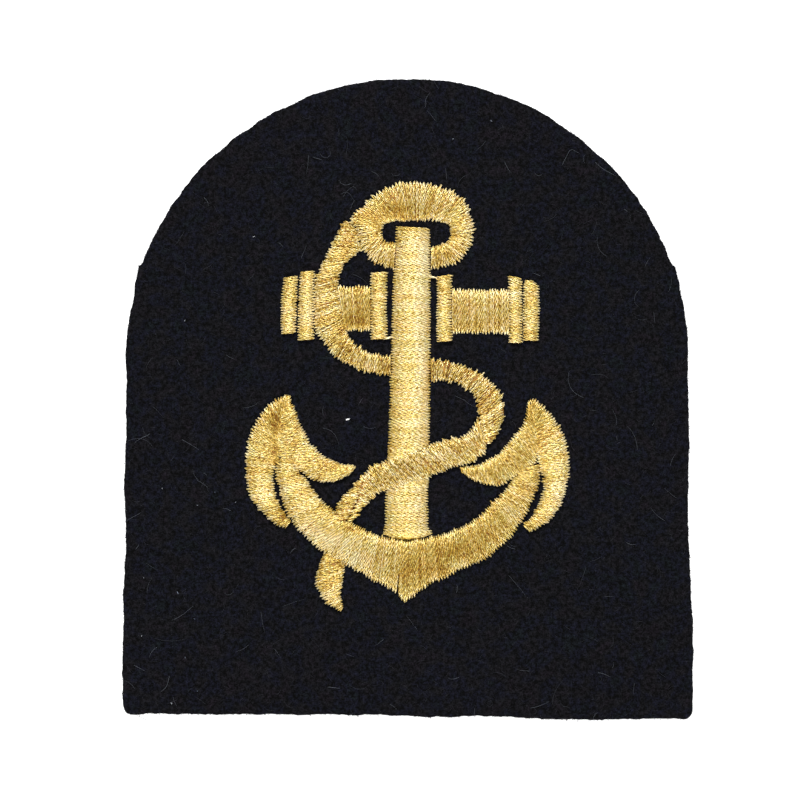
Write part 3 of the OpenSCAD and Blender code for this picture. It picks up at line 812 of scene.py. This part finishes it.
def jump(guide):
    """One thread laid loosely over the cloth, from one place to another."""
    start, end = np.array(guide[:2]), np.array(guide[2:])
    share = np.linspace(0, 1, 16)[:, None]
    z = CLOTH_T + 0.05 + 0.35 * np.sin(math.pi * share)
    paths = np.concatenate([start * (1 - share) + end * share, z], axis=1)[None]
    across = np.broadcast_to(level_across(unit(end - start)), paths.shape)
    # The loose thread has a little painted highlight all along it
    size, tip_highlight = [np.full((1, len(share)), value) for value in (1.15, 0.36)]
    return twisted(paths, across, size, phase=np.zeros(1), tone=np.full(1, 0.85), mottle=0, tip_highlight=tip_highlight)


def embroider(node, rise, plans, seed):
    """All stitches and padding of one node, as one piece that stands for it."""
    rng = np.random.default_rng(seed)
    strips = [Strip(plan, rise, node == "cable_crossing", rng) for plan in plans]
    threads = [part for laid in strips for part in laid.threads()]
    if node in JUMPS:
        threads.append(jump(JUMPS[node]))
    points, faces, values = join(threads + [core(plan, rise) for plan in plans])
    thread_faces = sum(len(part[1]) for part in threads)
    picks = [0] * thread_faces + [1] * (len(faces) - thread_faces)
    piece = new_piece(node + "_stitches", points, faces, [GOLD, UNDERLAY], values, picks)
    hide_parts(node)


for seed, (node, (rise, plans)) in enumerate(STRIPS.items()):
    embroider(node, rise, plans, seed)


# Cloth: the height and length of its cut edge's waves
OUTLINE_STEP = 0.3
WAVES = [[0.08, 5], [0.05, 0.8]]

# Its face: the height, length and place in the noise of its waves, and how far it is pressed down
SURFACE_STEP = 0.42
HONEYCOMB = 0.866
JITTER = 0.12
UNEVEN = 0.075
LAYERS = [[0.6, 2.6, 1.3], [0.5, 0.9, 7.7], [0.25, 7, 4.1]]
EDGE_ROUND = 0.5
EDGE_DROP = 0.22
PRESS_REACH = 0.8
PRESS_DEPTH = 0.12

# Rings down its side: shares of its thickness and of its bulge
SIDE_RINGS = [[0.66, 1], [0.3, 0.8]]
SIDE_BULGE, BULGE_SPREAD = 0.05, 0.03
FOOT_INSET = 0.05


def arc(centre, radius, start, end):
    angles = np.linspace(start, end, max(2, round(abs(end - start) * radius / OUTLINE_STEP)))
    return centre + radius * np.stack([np.cos(angles), np.sin(angles)], axis=1)


def half_outline(side, foot_y):
    """One side of the cloth, from its foot up to the crown of the arch."""
    step_at = math.asin(SHOULDER_RISE / ARCH_R)
    meet_at = math.asin((SHOULDER_RISE - SHOULDER_LEN) / ARCH_R)
    step_x = ARCH_R * math.cos(step_at) + SHOULDER_STEP
    points = np.concatenate([
        arc((BADGE_W / 2 - CORNER_R, foot_y + CORNER_R), CORNER_R, -math.pi / 2, 0),
        [[BADGE_W / 2, HEM_Y + FLARE_END], [ARCH_R + SIDE_LEAN, HEM_Y + FLARE_TOP]],
        arc((0, ARCH_Y), ARCH_R, 0, meet_at),
        [[step_x, ARCH_Y + SHOULDER_RISE]],
        arc((0, ARCH_Y), ARCH_R, step_at, math.pi / 2),
    ])
    return points * [side, 1]


def resample(loop, step):
    """A closed line's points at even steps."""
    closed = np.concatenate([loop, loop[:1]])
    travel = running_sum(np.linalg.norm(np.diff(closed, axis=0), axis=1))
    at = np.linspace(0, travel[-1], round(travel[-1] / step), endpoint=False)
    return along_line(at, travel, closed)


def loop_noise(count, width, rng):
    """Smooth noise round a closed line, of spread 1, with features about width points long."""
    waves = np.fft.rfftfreq(count) * count
    fading = np.exp(-(waves * width / count) ** 2 * 8)
    made = np.fft.irfft(np.fft.rfft(rng.normal(size=count)) * fading, count)
    return made / made.std()


def outward(loop):
    """Unit directions out of a closed line that runs anticlockwise."""
    ahead = unit(np.roll(loop, -1, axis=0) - np.roll(loop, 1, axis=0))
    return np.stack([ahead[:, 1], -ahead[:, 0]], axis=1)


def cloth_outline(rng):
    """The cut edge, anticlockwise, with the small waves of a hand cut."""
    right = half_outline(1, HEM_Y)
    left = half_outline(-1, HEM_Y + HEM_SLANT)
    loop = resample(np.concatenate([right, left[::-1]]), OUTLINE_STEP)
    wave = sum(height * loop_noise(len(loop), length / OUTLINE_STEP, rng) for height, length in WAVES)
    return loop + outward(loop) * np.clip(wave, -0.25, 0.2)[:, None]


def inside(points, loop):
    """Whether points lie inside a closed line."""
    x, y = points[:, 0], points[:, 1]
    found = np.zeros(len(points), bool)
    for (ax, ay), (bx, by) in zip(loop, np.roll(loop, -1, axis=0)):
        if ay != by:
            crosses = (ay > y) != (by > y)
            found ^= crosses & (x < (bx - ax) * (y - ay) / (by - ay) + ax)
    return found


def distance_to(points, line, batch=200):
    """Each point's distance to the nearest of a line's points."""
    nearest = np.full(len(points), np.inf)
    for start in range(0, len(line), batch):
        gaps = points[:, None] - line[None, start:start + batch]
        nearest = np.minimum(nearest, np.sqrt((gaps**2).sum(-1)).min(1))
    return nearest


def strip_loops():
    """The outline of each strip of stitches."""
    return [np.concatenate([plan["rows"][:, :2], plan["rows"][::-1, 2:]])
            for _, plans in STRIPS.values() for plan in plans]


def surface_points(loop, rng):
    """Points over the cloth, loosely on a honeycomb, clear of its edge."""
    rows = np.arange(HEM_Y, -HEM_Y, SURFACE_STEP * HONEYCOMB)
    columns = np.arange(-BADGE_W / 2, BADGE_W / 2, SURFACE_STEP)
    x = columns[None] + (np.arange(len(rows)) % 2)[:, None] * SURFACE_STEP / 2
    y = np.broadcast_to(rows[:, None], x.shape)
    grid = np.stack([x.ravel(), y.ravel()], axis=1)
    grid += rng.uniform(-JITTER, JITTER, grid.shape) * SURFACE_STEP
    grid = grid[inside(grid, loop)]
    return grid[distance_to(grid, loop) > OUTLINE_STEP * 0.8]


def triangulate(loop, extra):
    """Triangles over the inside of a closed line, with extra points in it."""
    points = [Vector(p) for p in np.concatenate([loop, extra])]
    found = delaunay_2d_cdt(points, [], [list(range(len(loop)))], 1, 1e-5)
    return np.array([list(p) for p in found[0]]), [list(face) for face in found[2]]


def uneven(x, y):
    """The unevenness of fulled wool, about -1 to 1."""
    return sum(height * noise.noise(Vector((x / size, y / size, layer))) for height, size, layer in LAYERS)


def wool_face(flat, loop):
    """The height of the wool's face: uneven, pressed down by the stitches and low at its edge."""
    to_edge = distance_to(flat, loop)
    to_stitches = distance_to(flat, np.concatenate(strip_loops()))
    return (CLOTH_T
            - EDGE_DROP * np.exp(-(to_edge / EDGE_ROUND) ** 2)
            - PRESS_DEPTH * np.exp(-(to_stitches / PRESS_REACH) ** 2)
            + UNEVEN * np.array([uneven(x, y) for x, y in flat]))


def make_cloth(loop, rng):
    """The wool: an uneven face, a rough cut edge and a flat back. The edge's points come first."""
    count = len(loop)
    flat, faces = triangulate(loop, surface_points(loop, rng))
    points = [np.column_stack([flat, wool_face(flat, loop)])]
    out = outward(loop)
    bulge = rng.normal(SIDE_BULGE, BULGE_SPREAD, count)[:, None]
    for high, wide in SIDE_RINGS:
        points.append(np.column_stack([loop + out * bulge * wide, np.full(count, CLOTH_T * high)]))
    points.append(np.column_stack([loop - out * FOOT_INSET, np.zeros(count)]))
    rings = [np.arange(count)] + [len(flat) + i * count + np.arange(count) for i in range(3)]
    for high, low in zip(rings, rings[1:]):
        faces += np.stack([high, low, np.roll(low, -1), np.roll(high, -1)], axis=1).tolist()
    faces.append(rings[-1][::-1].tolist())
    cloth = new_piece("wool_cloth", np.concatenate(points), faces, [WOOL])
    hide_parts("cloth_ground")
    return cloth


# Loose fibres
SURFACE_FUZZ = 4000
EDGE_FUZZ = 1500
PALE_HAIRS = 110
FIBRE_SIDES = 3


def curls(roots, z, heading, lengths, lift, bend, stations, rng):
    """Paths of loose fibres that curl, rise and fall, and the direction across each. heading,
    lengths and lift are columns, a row for each fibre."""
    share = np.linspace(0, 1, stations)[None]
    angle = (heading + rng.normal(0, bend, heading.shape) * share
             + rng.normal(0, bend * 0.6, heading.shape) * share**2)
    ahead = np.stack([np.cos(angle), np.sin(angle)], axis=-1)
    steps = ahead * (lengths / (stations - 1))[:, :, None]
    flat = roots[:, None] + np.cumsum(steps, axis=1) - steps[:, :1]
    high = z + lift * np.sin(math.pi * share * 0.85)
    return np.concatenate([flat, high[:, :, None]], axis=-1), level_across(ahead)


def fibres(name, lines, half, material, rng, tone=None):
    """A piece of loose fibres that thin out. half is half their thickness at the root."""
    paths, across = lines
    count, stations = paths.shape[:2]
    taper = 1 - 0.6 * np.linspace(0, 1, stations)[None] ** 2
    size = rng.uniform(0.7, 1.3, (count, 1)) * half * taper
    angle = math.tau * (np.arange(FIBRE_SIDES) + 0.5) / FIBRE_SIDES - math.pi / 2
    points = around(paths, across, size[:, :, None], angle)
    if tone is None:
        tone = rng.uniform(0, 1, count)
    faces = tube_faces(points.shape[:3])
    tones = {"tone": np.repeat(tone, stations * FIBRE_SIDES)}
    return new_piece(name, points.reshape(-1, 3), faces, [material], tones)


def scatter(loop, count, rng, keep_off):
    """Random places on bare cloth, further than keep_off from the stitches."""
    spots = rng.uniform((-BADGE_W / 2, HEM_Y), (BADGE_W / 2, -HEM_Y), (count * 2, 2))
    bare = inside(spots, loop)
    for stitched in strip_loops():
        bare &= ~inside(spots, stitched)
    spots = spots[bare]
    spots = spots[distance_to(spots, np.concatenate(strip_loops())) > keep_off]
    return spots[:count]


def surface_fuzz(loop, rng):
    spots = scatter(loop, SURFACE_FUZZ, rng, keep_off=0.4)
    each = (len(spots), 1)
    heading = rng.uniform(0, math.tau, each)
    lengths = rng.uniform(0.5, 1.8, each)
    lift = rng.uniform(0.06, 0.22, each)
    lines = curls(spots, CLOTH_T - 0.06, heading, lengths, lift, bend=1.1, stations=5, rng=rng)
    tone = rng.uniform(0, 1, len(spots))
    return fibres("surface_fuzz", lines, half=0.014, material=WOOL_FIBRE, rng=rng, tone=tone)


def edge_fuzz(loop, rng):
    each = (EDGE_FUZZ, 1)
    picked = rng.integers(0, len(loop), EDGE_FUZZ)
    out = outward(loop)[picked]
    z = rng.uniform(0.15, CLOTH_T - 0.1, each)
    heading = np.arctan2(out[:, 1:], out[:, :1]) + rng.normal(0, 0.8, each)
    lengths = rng.gamma(3, 0.05, each) + 0.2
    lift = rng.normal(0, 0.04, each)
    lines = curls(loop[picked] - out * 0.15, z, heading, lengths, lift, bend=0.7, stations=5, rng=rng)
    return fibres("edge_fuzz", lines, half=0.03, material=WOOL_FIBRE, rng=rng)


def pale_hairs(loop, rng):
    spots = scatter(loop, PALE_HAIRS, rng, keep_off=1)
    each = (len(spots), 1)
    heading = rng.uniform(0, math.tau, each)
    lengths = rng.gamma(2.5, 0.6, each) + 0.5
    lift = rng.uniform(0.1, 0.3, each)
    lines = curls(spots, CLOTH_T + 0.03, heading, lengths, lift, bend=0.9, stations=10, rng=rng)
    return fibres("pale_hairs", lines, half=0.02, material=PALE_FIBRE, rng=rng)


# Longer pale hairs that lie on the wool, each through a few places
HAIRS = [
    [[-30.95, -36], [-31.3, -37.3], [-32.1, -38.1]],
    [[-35.55, -34.6], [-34.8, -35], [-34.1, -35.35]],
    [[20.1, 30.4], [20.6, 31.4], [21.25, 32.4], [22.4, 31.9]],
    [[24.4, 30.8], [25.3, 30], [26.3, 29.4], [27.1, 29]],
    [[28.15, 24.7], [28.4, 24.5], [28.65, 24.3]],
    [[24.6, 23.1], [24.3, 22], [23.7, 21.1]],
    [[-25.3, 13.9], [-24.8, 13.75], [-24.4, 13.5]],
    [[-11, -3.8], [-10.2, -4], [-9.4, -4.7], [-8.9, -6]],
    [[-29.3, -5.3], [-28.2, -5.9], [-27.1, -6.6]],
    [[-26.5, -9.6], [-26.2, -9.8], [-26.1, -10.1]],
    [[6.2, 0.4], [7.3, -0.1], [8.1, -0.7], [8.9, -1.1]],
    [[-8.4, 26.2], [-7.9, 27], [-7, 27.6], [-6.5, 27]],
    [[-8.7, 26.6], [-8, 26.9], [-7.3, 26.4], [-6.9, 25.6]],
    [[-4.7, 29.6], [-4.1, 29.3], [-3.6, 28.8]],
]
HAIR_STATIONS = 13


def laid_hairs(rng):
    """The longer hairs, as smooth curves through their places."""
    z = CLOTH_T + 0.05 + 0.12 * np.sin(np.linspace(0, math.pi, HAIR_STATIONS))
    paths = []
    for guide in HAIRS:
        line = smooth(guide, steps=6)
        at = np.linspace(0, len(line) - 1, HAIR_STATIONS)
        paths.append(np.column_stack([along_line(at, np.arange(len(line)), line), z]))
    ahead = unit(np.gradient(paths, axis=1) * [1, 1, 0])
    lines = np.array(paths), level_across(ahead)
    return fibres("laid_hairs", lines, half=0.024, material=PALE_FIBRE, rng=rng)


# Lint that clings to the wool: x, y, length, whiteness and heading in degrees of each speck
SPECKS = [
    [-20.1, 21.05, 0.3, 0.5, 20], [-8, -2.7, 0.6, 1, 15], [-29, 10.1, 0.25, 0.3, 60],
    [11, 36.1, 0.3, 0.25, 150], [5.8, 33.8, 0.25, 0.25, 10], [-31.9, -11.7, 0.2, 0.45, 80],
    [-27.4, -13.8, 0.2, 0.3, 0], [-25, -12.2, 0.2, 0.1, 120], [-22.4, -13.5, 0.2, 0.3, 45],
    [-34.3, -23.3, 0.2, 0.3, 100], [-29.8, -25.35, 0.4, 0.15, 110], [-34.6, -30.9, 0.2, 0.45, 70],
    [-27.6, -28.6, 0.2, 0.1, 160], [-28.9, -33.7, 0.2, 0.2, 90], [-27.4, -38, 0.2, 0.1, 20],
    [-30.6, -39.65, 0.3, 0.4, 130],
]
TUFT = 6


def lint(rng):
    """Specks, each a tight tuft of short fibres."""
    specks = np.repeat(np.array(SPECKS), TUFT, axis=0)
    size, heading = specks[:, 2:3], np.radians(specks[:, 4:])
    each = heading.shape
    aside = np.concatenate([-np.sin(heading), np.cos(heading)], axis=1) * rng.normal(0, 0.08, each)
    lengths = size * rng.uniform(0.8, 1, each)
    lift = np.full(each, 0.06)
    roots = specks[:, :2] + aside * size
    lines = curls(roots, CLOTH_T + 0.1, heading, lengths, lift, bend=0.1, stations=5, rng=rng)
    return fibres("lint", lines, half=0.075 * size, material=LINT, rng=rng, tone=specks[:, 3])


cloth_rng = np.random.default_rng(101)
OUTLINE = cloth_outline(cloth_rng)
cloth = make_cloth(OUTLINE, cloth_rng)
loose = [surface_fuzz(OUTLINE, cloth_rng), edge_fuzz(OUTLINE, cloth_rng),
         pale_hairs(OUTLINE, cloth_rng), laid_hairs(cloth_rng), lint(cloth_rng)]


# Stage. Each lamp has an azimuth from the hem's side and an elevation, in degrees, and a power.
FLOOR_HALF_M = 2.0
LAMP_DISTANCE_M = 0.6
LAMP_SIZE_M = 0.22
LAMPS = [
    ["lamp_top", 190, 48, 4.6],
    ["lamp_foot", 10, 48, 2.7],
    ["lamp_right", 90, 40, 0.3],
    ["lamp_left", 270, 40, 0.2],
]


def make_floor():
    """A pale, matt floor with a little light of its own."""
    nodes = Nodes("pale_floor")
    material = nodes.finish({
        "Base Color": nodes.ramp(nodes.noise(40), [(0, (0.93, 0.93, 0.93)), (1, (0.95, 0.95, 0.95))]),
        "Roughness": 1,
        "Specular IOR Level": 0,
        "Emission Color": (1, 1, 1, 1),
        "Emission Strength": 0.3,
    })
    corners = [(-1, -1), (1, -1), (1, 1), (-1, 1)]
    mesh = bpy.data.meshes.new("floor")
    mesh.from_pydata([(x * FLOOR_HALF_M, y * FLOOR_HALF_M, 0) for x, y in corners], [], [(0, 1, 2, 3)])
    mesh.materials.append(material)
    floor = put_in_scene("floor", mesh)
    return floor


def soft_light(name, azimuth, elevation, power):
    """A square lamp that faces the badge."""
    a, e = math.radians(azimuth), math.radians(elevation)
    towards = Vector((math.sin(a) * math.cos(e), -math.cos(a) * math.cos(e), math.sin(e)))
    data = bpy.data.lights.new(name, "AREA")
    data.size = LAMP_SIZE_M
    data.energy = power
    lamp = put_in_scene(name, data)
    lamp.location = towards * LAMP_DISTANCE_M
    lamp.rotation_euler = towards.to_track_quat("Z", "Y").to_euler()


floor = make_floor()
for lamp in LAMPS:
    soft_light(*lamp)

scene = bpy.context.scene
scene.world = bpy.data.worlds.new("studio")
scene.world.use_nodes = True
sky = scene.world.node_tree
feed(sky, sky.nodes["Background"], {"Color": (1, 1, 1, 1), "Strength": 0.35})
scene.view_settings.view_transform = "Standard"
